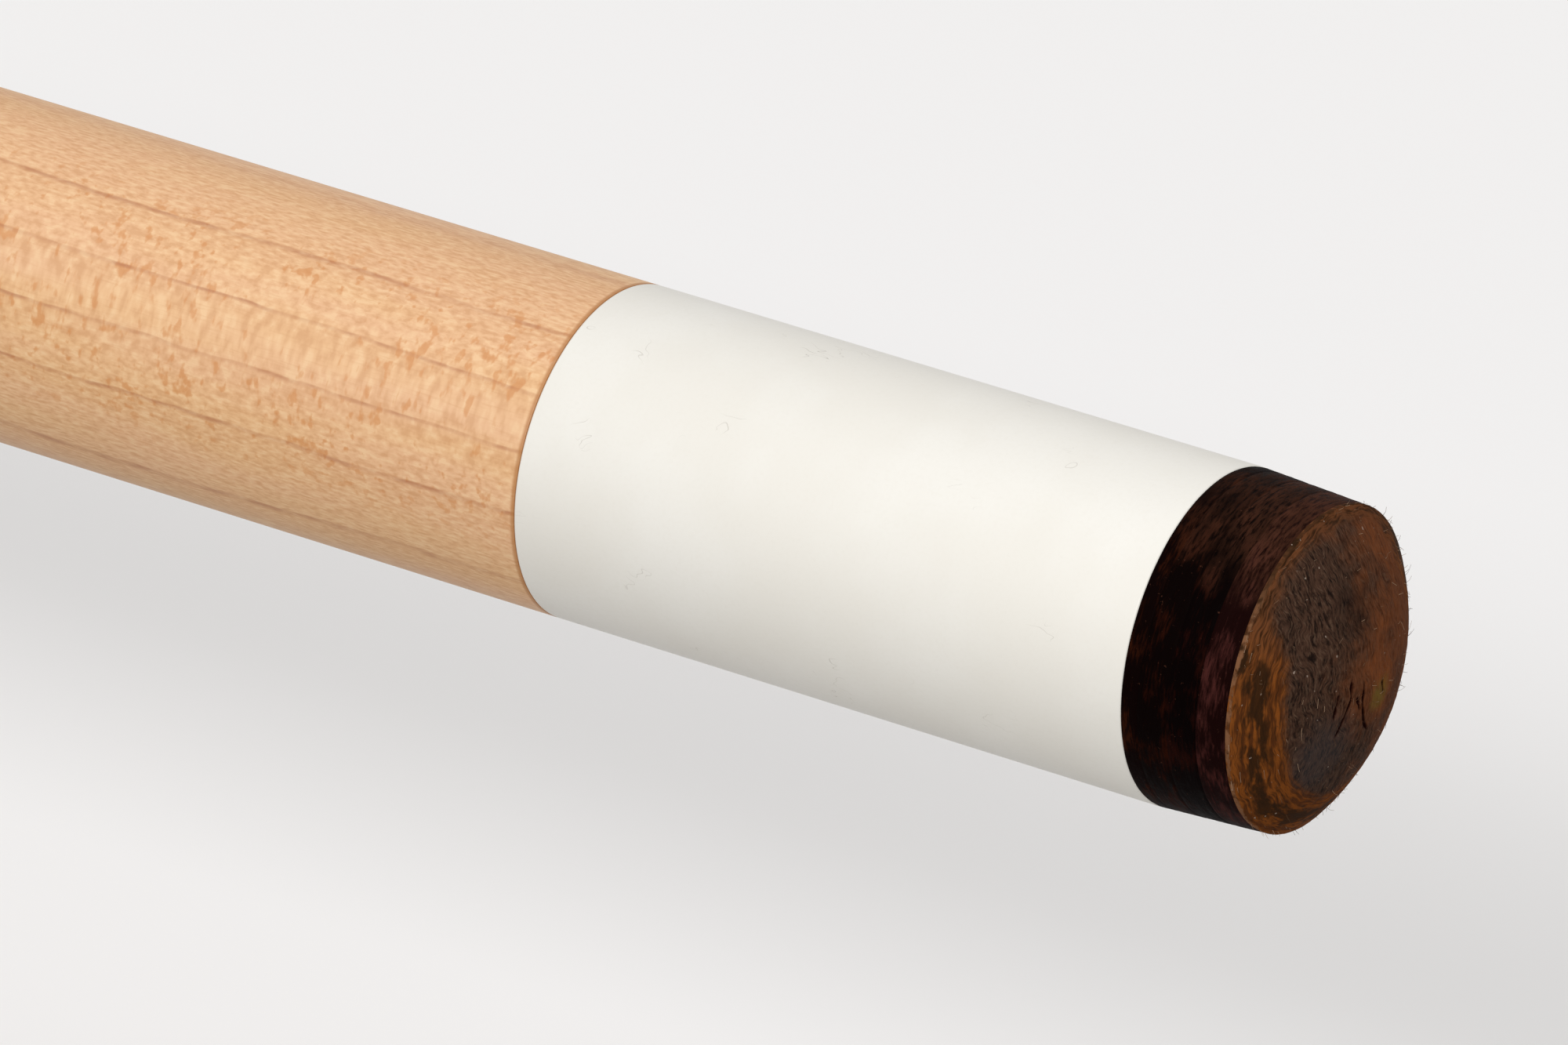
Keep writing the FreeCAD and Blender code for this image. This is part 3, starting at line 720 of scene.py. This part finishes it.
def tipFuzz():
    # short bent fibres, most of them along the rim, each three points of a thin curve
    curve = bpy.data.curves.new("tipFuzz", "CURVE")
    curve.dimensions = "3D"
    curve.bevel_depth = fuzz["radius"]
    curve.bevel_resolution = 0
    curve.use_fill_caps = True
    for number in range(fuzz["hairs"]):
        angle = number * goldenAngle
        shares = [noise.noise(Vector((number * 1.37, offset, 0.5))) + 0.5 for offset in (0.3, 5.3, 9.3)]
        reach = rimRadius * (1 - 0.85 * max(0, shares[0]) ** 3)
        height = domeCentre + math.sqrt(tip["domeRadius"] ** 2 - reach ** 2)
        out = Vector((0, math.cos(angle), math.sin(angle)))
        side = Vector((0, -math.sin(angle), math.cos(angle)))
        root = Vector((tipFoot + height - fuzz["sunk"], 0, 0)) + out * reach
        lean = (out * shares[1] + Vector((0.6, 0, 0))) * fuzz["length"] * (0.4 + shares[2])
        bend = side * (shares[1] - 0.5) * 2 * fuzz["length"]
        places = [root, root + lean * 0.4 + bend * 0.3, root + lean * 0.7 + bend]
        spline = curve.splines.new("POLY")
        spline.points.add(2)
        for point, place, thickness in zip(spline.points, places, (1, 0.6, 0.6)):
            point.co = (*place, 1)
            point.radius = thickness
    hairs = bpy.data.objects.new("tipFuzz", curve)
    bpy.context.collection.objects.link(hairs)
    deselectAll()
    hairs.select_set(True)
    bpy.context.view_layer.objects.active = hairs
    bpy.ops.object.convert(target="MESH")
    finish = Finish("leatherHair", Specular_IOR_Level=0.1, Roughness=0.8)
    shade = finish.noise(finish.position, 0.9, 1)
    finish.colour(finish.mix(finish.fade(shade, 0.4, 0.62), fuzz["dark"], fuzz["pale"]))
    finishPiece(bpy.context.object, "shaft", finish.material, "leather_core")


tipFuzz()
print("tip made")


# ferrule and shaft

ferrule = {
    "sides": 256,
    "edge": 0.10 * mm,
    "tenonRadius": 4.0 * mm,     # of the wood inside it
    "crown": 3.4 * mm,           # the closed end in front of the tenon
}


def makeFerrule():
    rear, front, radius = span("ferrule")
    socket = front - ferrule["crown"]
    outline = [(rear, ferrule["tenonRadius"]), (socket, ferrule["tenonRadius"]), (socket, 0), (front, 0)]
    outline += [(front, radius), (rear, radius), (rear, ferrule["tenonRadius"])]
    piece = lathe("ferruleBody", outline, ferrule["sides"], ferrule["edge"])
    finishPiece(piece, "shaft", ferrulePlastic(), "ferrule_white", "ferrule")


makeFerrule()

shaft = {
    "sides": 256,
    "barrelLength": 300 * mm,    # parallel behind the ferrule, tapered behind that
    "edge": 0.05 * mm,
}
tenons = {                     # radius of the wood under the rings and collars
    "rear": 9.5 * mm,
    "nose": 8.0 * mm,
    "neck": 8.4 * mm,
    "shaft": 8.4 * mm,
}


def makeShaftWood():
    rear, front, shoulderRadius = span("shaft_wood")
    _, insertEnd, insertRadius = span("shaft_insert")
    seat, _, barrelRadius = span("ferrule")
    shoulder = span("shaft_ring_front")[1]
    outline = [
        (rear, insertRadius),
        (insertEnd, insertRadius),
        (insertEnd, 0),
        (front, 0),
        (front, ferrule["tenonRadius"]),
        (seat, ferrule["tenonRadius"]),
        (seat, barrelRadius),
        (seat - shaft["barrelLength"], barrelRadius),
        (shoulder, shoulderRadius),
        (shoulder, tenons["shaft"]),
        (rear, tenons["shaft"]),
        (rear, insertRadius),
    ]
    piece = lathe("shaftWood", outline, shaft["sides"], shaft["edge"], 2)
    finishPiece(piece, "shaft", woods["shaft"], "shaft_maple", "shaft_wood")


makeShaftWood()


# rings, bands, collars and the other turned sleeves

sleeves = {
    "sides": 128,
    "edge": 0.16 * mm,
    "carrierGap": 0.05 * mm,     # round the ring that the shaft turns in
}


def taperedSleeve(node, bore, material, slotName, body, radiusAt):
    # a tube over the wood, its edges eased, that replaces one node
    rear, front, _ = span(node)
    outer = [(front, radiusAt(front)), (rear, radiusAt(rear))]
    outline = [(rear, bore), (front, bore), *outer, (rear, bore)]
    words = node.split("_")
    name = words[0] + "".join(word.title() for word in words[1:])
    piece = lathe(name, outline, sleeves["sides"], sleeves["edge"])
    finishPiece(piece, body, material, slotName, node)


capEnd, capRadius = span("butt_cap")[1:]
collarStart, _, collarRadius = span("joint_collar")
shaftStart = span("shaft_ring_rear")[0]
ferruleStart, _, ferruleRadius = span("ferrule")
barrelStart = ferruleStart - shaft["barrelLength"]


def tapered(place, start, end, startRadius, endRadius):
    share = min(1, max(0, (place - start) / (end - start)))
    return startRadius + (endRadius - startRadius) * share


def buttRadius(place):
    return tapered(place, capEnd, collarStart, capRadius, collarRadius)


def shaftRadius(place):
    return tapered(place, shaftStart, barrelStart, collarRadius, ferruleRadius)


buttSleeves = [                # node, tenon under it, finish, slot
    ("cap_ring", "rear", metals["ringSilver"], "ring_silver"),
    ("butt_sleeve", "rear", woods["dark"], "dark_wood"),
    ("handle_ring_rear", "rear", metals["ringSilver"], "ring_silver"),
    ("handle_band", "rear", woods["dark"], "dark_wood"),
    ("handle_ring_front", "rear", metals["ringSilver"], "ring_silver"),
    ("forearm_ring_rear", "nose", metals["ringSilver"], "ring_silver"),
    ("forearm_band", "nose", woods["dark"], "dark_wood"),
    ("forearm_ring_front", "nose", metals["ringSilver"], "ring_silver"),
    ("joint_ring_rear", "neck", metals["ringSilver"], "ring_silver"),
    ("joint_band", "neck", woods["dark"], "dark_wood"),
    ("joint_ring_front", "neck", metals["ringSilver"], "ring_silver"),
    ("joint_collar", "neck", metals["collarSteel"], "collar_steel"),
]
for node, tenon, material, slotName in buttSleeves:
    taperedSleeve(node, tenons[tenon], material, slotName, "butt", buttRadius)

shaftSleeves = [               # node, gap inside it, finish, slot, body
    ("shaft_collar", 0, blackResin, "cap_resin", "shaft"),
    ("shaft_ring_rear", sleeves["carrierGap"], metals["ringSilver"], "ring_silver", "shaft_carrier"),
    ("shaft_band", 0, woods["dark"], "dark_wood", "shaft"),
    ("shaft_ring_front", 0, metals["ringSilver"], "ring_silver", "shaft"),
]
for node, gap, material, slotName, body in shaftSleeves:
    taperedSleeve(node, tenons["shaft"] + gap, material, slotName, body, shaftRadius)
print("shaft and rings made")


# screw joint: the pin in the butt and the brass insert in the shaft

joint = {
    "sides": 72,
    "pitch": 2.54 * mm,
    "threadDepth": 0.95 * mm,
    "gap": 0.05 * mm,
    "stepsPerTurn": 12,
    "nose": 1.4 * mm,            # bevel at the pin's end
    "mouth": 0.8 * mm,           # bevel at the insert's opening
    "threadStart": 1.2 * mm,     # from the joint's face to the first thread
    "plainEnd": 2.0 * mm,        # where the pin's plain part ends, behind the face
}


def threadedRow(low, high, radius, pitch, perTurn):
    # points close enough together for a thread to be wound in them
    count = round((high - low) / pitch * perTurn)
    return [(place, radius) for place in steps(low, high, count)]


def makeJointPin():
    rear, front, radius = span("joint_pin")
    face = span("joint_collar")[1]
    low = face + joint["threadStart"]
    high = front - joint["nose"]
    outline = [(rear, 0), (rear, radius), (face - joint["plainEnd"], radius)]
    outline += threadedRow(low, high, radius, joint["pitch"], joint["stepsPerTurn"])
    outline += [(front, radius - joint["nose"]), (front, 0)]
    piece = lathe("jointPin", outline, joint["sides"])
    windThread(piece, low, high, radius, joint["pitch"], joint["threadDepth"])
    smooth(piece, 30)
    finishPiece(piece, "butt", metals["pinSteel"], "pin_steel", "joint_pin")


def makeShaftInsert():
    rear, front, radius = span("shaft_insert")
    bore = span("joint_pin")[2] + joint["gap"]
    low, high = rear + joint["mouth"], front - joint["mouth"]
    inside = threadedRow(low, high, bore, joint["pitch"], joint["stepsPerTurn"])
    outline = [(rear, radius), (rear, bore + joint["mouth"]), *inside]
    outline += [(front, bore), (front, radius), (rear, radius)]
    piece = lathe("shaftInsert", outline, joint["sides"])
    windThread(piece, low, high, bore, joint["pitch"], joint["threadDepth"])
    smooth(piece, 30)
    finishPiece(piece, "shaft", metals["insertBrass"], "insert_brass", "shaft_insert")


makeJointPin()
makeShaftInsert()
print("joint made")


# forearm and handle

forearm = {
    "sides": 160,
    "noseLength": 24 * mm,       # socket for the handle's tenon
    "pinDepth": 40 * mm,         # hole for the joint pin, from the joint's face
    "edge": 0.08 * mm,
}


def makeForearm():
    rear = span("forearm")[0]
    outerEnd = span("joint_ring_rear")[0]
    face = span("joint_collar")[1]
    _, studEnd, studRadius = span("handle_stud")
    pinRadius = span("joint_pin")[2]
    pinStart = face - forearm["pinDepth"]
    nose = rear + forearm["noseLength"]
    outline = [
        (rear, tenons["nose"]),
        (nose, tenons["nose"]),
        (nose, studRadius),
        (studEnd, studRadius),
        (studEnd, 0),
        (pinStart, 0),
        (pinStart, pinRadius),
        (face, pinRadius),
        (face, tenons["neck"]),
        (outerEnd, tenons["neck"]),
        (outerEnd, buttRadius(outerEnd)),
        (rear, buttRadius(rear)),
        (rear, tenons["nose"]),
    ]
    piece = lathe("forearmWood", outline, forearm["sides"], forearm["edge"], 2)
    finishPiece(piece, "butt", woods["forearm"], "forearm_maple", "forearm")


makeForearm()

wrap = {
    "sides": 56,
    "pitch": 1.0 * mm,           # one turn of thread
    "stepsPerTurn": 5,
    "relief": 0.16 * mm,
    "thickness": 0.6 * mm,
    "weld": 0.02 * mm,
}


def makeWrap():
    rear, front, _ = span("linen_wrap")
    count = round((front - rear) / wrap["pitch"] * wrap["stepsPerTurn"])
    inside = [(place, buttRadius(place) - wrap["thickness"]) for place in (rear, front)]
    outside = [(place, buttRadius(place)) for place in steps(rear, front, count)]
    outline = [inside[0], *outside, inside[1], inside[0]]
    # extruding this many steps drifts a little, so the outline's ends are welded from farther apart
    piece = lathe("linenWrap", outline, wrap["sides"], weld=wrap["weld"])
    for vertex in piece.data.vertices:
        point = vertex.co
        radius = math.hypot(point.y, point.z)
        if radius > buttRadius(point.x) - 0.1 * mm:
            valley = 1 - math.sin(math.pi * threadPhase(point, wrap["pitch"])) ** 0.6
            scaleAcross(point, 1 - wrap["relief"] * valley / radius)
    smooth(piece, 70)
    finishPiece(piece, "butt", linen(wrap["pitch"]), "linen", "linen_wrap")


makeWrap()
print("handle made")


# butt cap and bumper

cap = {
    "sides": 160,
    "bevel": 0.8 * mm,
    "grooveBack": 4.0 * mm,
    "grooveWidth": 0.7 * mm,
    "grooveDepth": 0.35 * mm,
    "edge": 0.12 * mm,
}


def makeButtCap():
    rear, front, radius = span("butt_cap")
    bore = tenons["rear"]
    grooveEnd = front - cap["grooveBack"]
    grooveStart = grooveEnd - cap["grooveWidth"]
    outline = [
        (rear, bore),
        (front, bore),
        (front, radius),
        (grooveEnd, radius),
        (grooveEnd, radius - cap["grooveDepth"]),
        (grooveStart, radius - cap["grooveDepth"]),
        (grooveStart, radius),
        (rear + cap["bevel"], radius),
        (rear, radius - cap["bevel"]),
        (rear, bore),
    ]
    piece = lathe("buttCap", outline, cap["sides"], cap["edge"])
    finishPiece(piece, "butt", blackResin, "cap_resin", "butt_cap")


makeButtCap()

bumper = {
    "sides": 160,
    "faceRadius": 14.2 * mm,
    "rounding": 2.6 * mm,        # of the foot's corner
    "length": 12.0 * mm,         # what stands out of the cap
    "spigot": 9.1 * mm,
    "spigotBevel": 0.6 * mm,
    "recess": 5.4 * mm,
    "recessBevel": 0.5 * mm,
    "recessDepth": 7.0 * mm,
    "bore": 3.4 * mm,
    "ribs": 3,
    "ribDepth": 0.45 * mm,
    "ribForm": [(-0.55, 0), (-0.3, 1), (0.3, 1), (0.55, 0)],      # a groove's points: along in mm, depth
    "ring": 10.6 * mm,           # a shallow moulded groove in the end face
    "ringDepth": 0.25 * mm,
    "ringForm": [(-0.6, 0), (-0.3, 1), (0.3, 1), (0.6, 0)],      # its points: outwards in mm, depth
    "edge": 0.10 * mm,
}
washer = {
    "sides": 96,
    "edge": 0.12 * mm,
}


def makeBumper():
    rear, front, radius = span("bumper")
    faceRadius, rounding = bumper["faceRadius"], bumper["rounding"]
    shoulder = rear + bumper["length"]
    lean = (radius - faceRadius) / bumper["length"]
    corner = []
    for angle in steps(90, 0, 10):
        turn = math.radians(angle)
        along = rear + rounding * (1 - math.sin(turn))
        corner.append((along, faceRadius - rounding * (1 - math.cos(turn)) + lean * (along - rear)))
    flank = []
    ribStep = (shoulder - rear - rounding) / (bumper["ribs"] + 0.6)
    for number in range(bumper["ribs"]):
        middle = rear + rounding + (number + 0.9) * ribStep
        for offset, depth in bumper["ribForm"]:
            along = middle + offset * mm
            flank.append((along, faceRadius + lean * (along - rear) - depth * bumper["ribDepth"]))
    floor = rear + bumper["recessDepth"]
    ring = [
        (rear + depth * bumper["ringDepth"], bumper["ring"] + offset * mm)
        for offset, depth in bumper["ringForm"]
    ]
    outline = [
        (floor, bumper["bore"]),
        (floor, bumper["recess"]),
        (rear + bumper["recessBevel"], bumper["recess"]),
        (rear, bumper["recess"] + bumper["recessBevel"]),
        *ring,
        *corner,
        *flank,
        (shoulder, radius),
        (shoulder, bumper["spigot"]),
        (front - bumper["spigotBevel"], bumper["spigot"]),
        (front, bumper["spigot"] - bumper["spigotBevel"]),
        (front, bumper["bore"]),
        (floor, bumper["bore"]),
    ]
    piece = lathe("bumperFoot", outline, bumper["sides"], bumper["edge"], 2)
    finishPiece(piece, "bumper_foot", bumperRubber(), "bumper_rubber", "bumper")


def makeWasher():
    rear, front, radius = span("bumper_washer")
    bore = bumper["bore"]
    outline = [(rear, bore), (front, bore), (front, radius), (rear, radius), (rear, bore)]
    piece = lathe("bumperWasher", outline, washer["sides"], washer["edge"])
    finishPiece(piece, "bumper_foot", metals["zincSteel"], "zinc_steel", "bumper_washer")


screw = {
    "sides": 72,
    "headHeight": 3.0 * mm,
    "headEdge": 0.6 * mm,
    "shankRadius": 3.1 * mm,
    "hexFlats": 4.0 * mm,
    "hexDepth": 1.9 * mm,
    "hexCone": 0.7 * mm,         # depth of the drilled cone below the hexagon
    "hexRim": 0.3 * mm,
    "endBevel": 0.6 * mm,
    "pitch": 1.27 * mm,
    "threadDepth": 0.55 * mm,
    "stepsPerTurn": 10,
    "plainShank": 6.0 * mm,
}


def makeScrew():
    rear, front, radius = span("bumper_screw")
    under = rear + screw["headHeight"]
    shank = screw["shankRadius"]
    socketRadius = screw["hexFlats"] / math.sqrt(3)
    threadLow = under + screw["plainShank"]
    threadHigh = front - screw["endBevel"]
    hexEnd = rear + screw["hexDepth"]
    edge = screw["headEdge"]
    outline = [(hexEnd + screw["hexCone"], 0), (hexEnd, socketRadius), (rear, socketRadius)]
    outline += [(rear, socketRadius + screw["hexRim"]), (rear, radius - edge)]
    for angle in steps(15, 90, 5):
        turn = math.radians(angle)
        outline.append((rear + edge * (1 - math.cos(turn)), radius - edge * (1 - math.sin(turn))))
    outline += [(under, radius), (under, shank)]
    outline += threadedRow(threadLow, threadHigh, shank, screw["pitch"], screw["stepsPerTurn"])
    outline += [(front, shank - screw["endBevel"]), (front, 0)]
    piece = lathe("bumperScrew", outline, screw["sides"])
    windThread(piece, threadLow, threadHigh, shank, screw["pitch"], screw["threadDepth"])
    # the socket's round wall is pulled in to a hexagon
    for vertex in piece.data.vertices:
        point = vertex.co
        wall = math.hypot(point.y, point.z)
        if point.x < hexEnd + 0.01 * mm and abs(wall - socketRadius) < 0.01 * mm:
            turn = (math.atan2(point.y, point.z) + math.pi / 6) % (math.pi / 3) - math.pi / 6
            scaleAcross(point, math.cos(math.pi / 6) / math.cos(turn))
    smooth(piece, 30)
    finishPiece(piece, "bumper_fastener", metals["blackScrew"], "dark_steel", "bumper_screw")


makeBumper()
makeWasher()
makeScrew()

# hidden pieces keep their CAD shape and get their own finishes
hidden = {
    "handle_core": woods["core"],
    "handle_stud": metals["zincSteel"],
    "weight_bolt": metals["zincSteel"],
}
for node, material in hidden.items():
    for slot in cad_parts[node].material_slots:
        slot.material = material
print("butt made")


# stage, light and camera

stage = {
    "floorDrop": 0.058,          # floor below the cue's axis
    "floorSize": 60.0,
    "floorMiddle": 0.7,          # along the cue
    "floor": (0.925, 0.916, 0.912),
    "bounce": (0.420, 0.412, 0.400),      # what the floor throws back up onto the cue
    "world": (1.0, 0.995, 0.99),
    "worldStrength": 0.47,       # on the cue
    "worldSeen": 0.88,           # behind it and in its reflections
}


def makeFloor():
    deselectAll()
    place = (stage["floorMiddle"], 0, -stage["floorDrop"])
    bpy.ops.mesh.primitive_plane_add(size=stage["floorSize"], location=place)
    floor = bpy.context.object
    floor.name = "floor"
    finish = Finish("floorPaper", Roughness=0.9, Specular_IOR_Level=0.1)
    tone = finish.noise(finish.position, 0.02, 2)
    paper = finish.mix(tone, stage["floor"], tuple(0.985 * part for part in stage["floor"]))
    seen = finish.node("ShaderNodeLightPath", {}, {}, "Is Camera Ray")
    shiny = finish.node("ShaderNodeLightPath", {}, {}, "Is Glossy Ray")
    finish.colour(finish.mix(seen + shiny, stage["bounce"], paper))
    floor.data.materials.append(finish.material)


def makeWorld():
    # the world lights the cue gently, and is pale where it is seen or reflected
    world = bpy.data.worlds.new("studio")
    bpy.context.scene.world = world
    world.use_nodes = True
    nodes, links = world.node_tree.nodes, world.node_tree.links
    background = nodes["Background"]
    background.inputs["Color"].default_value = (*stage["world"], 1)
    path = nodes.new("ShaderNodeLightPath")
    seen = nodes.new("ShaderNodeMath")
    seen.operation = "ADD"
    seen.use_clamp = True
    links.new(path.outputs["Is Camera Ray"], seen.inputs[0])
    links.new(path.outputs["Is Glossy Ray"], seen.inputs[1])
    strength = nodes.new("ShaderNodeMapRange")
    strength.inputs["To Min"].default_value = stage["worldStrength"]
    strength.inputs["To Max"].default_value = stage["worldSeen"]
    links.new(seen.outputs[0], strength.inputs["Value"])
    links.new(strength.outputs[0], background.inputs["Strength"])


lamps = {                      # where the light comes from, strength, width in degrees
    "softboxFront": ((0.20, -0.78, 0.62), 1.52, 14),
    "softboxAbove": ((0.05, -0.15, 1.00), 0.62, 40),
}


def makeLamps():
    for name, (place, strength, width) in lamps.items():
        data = bpy.data.lights.new(name, "SUN")
        data.energy = strength
        data.angle = math.radians(width)
        lamp = bpy.data.objects.new(name, data)
        bpy.context.collection.objects.link(lamp)
        lamp.location = place
        lamp.rotation_euler = Vector(place).to_track_quat("Z", "Y").to_euler()


camera = {
    "lens": 356,
    "azimuth": 32.6,
    "elevation": 28.8,
    "distance": 0.5457,
    "aimAlong": -15.11 * mm,     # the view's middle from the tip's foot, to the camera's right and up
    "aimUp": 4.04 * mm,
}


def makeCamera():
    data = bpy.data.cameras.new("camera")
    data.lens = camera["lens"]
    data.sensor_width = 36
    data.clip_start = 0.01
    data.clip_end = 200
    view = bpy.data.objects.new("camera", data)
    bpy.context.collection.objects.link(view)
    azimuth, elevation = math.radians(camera["azimuth"]), math.radians(camera["elevation"])
    front = Vector((math.sin(azimuth), -math.cos(azimuth), 0))
    back = front * math.cos(elevation) + Vector((0, 0, math.sin(elevation)))
    right = Vector((math.cos(azimuth), math.sin(azimuth), 0))
    up = back.cross(right)
    middle = Vector((tipFoot, 0, 0)) + right * camera["aimAlong"] + up * camera["aimUp"]
    view.location = middle + back * camera["distance"]
    view.rotation_euler = (-back).to_track_quat("-Z", "Y").to_euler()
    bpy.context.scene.camera = view


makeFloor()
makeWorld()
makeLamps()
makeCamera()
bpy.context.scene.view_settings.view_transform = "Standard"
print("stage made")
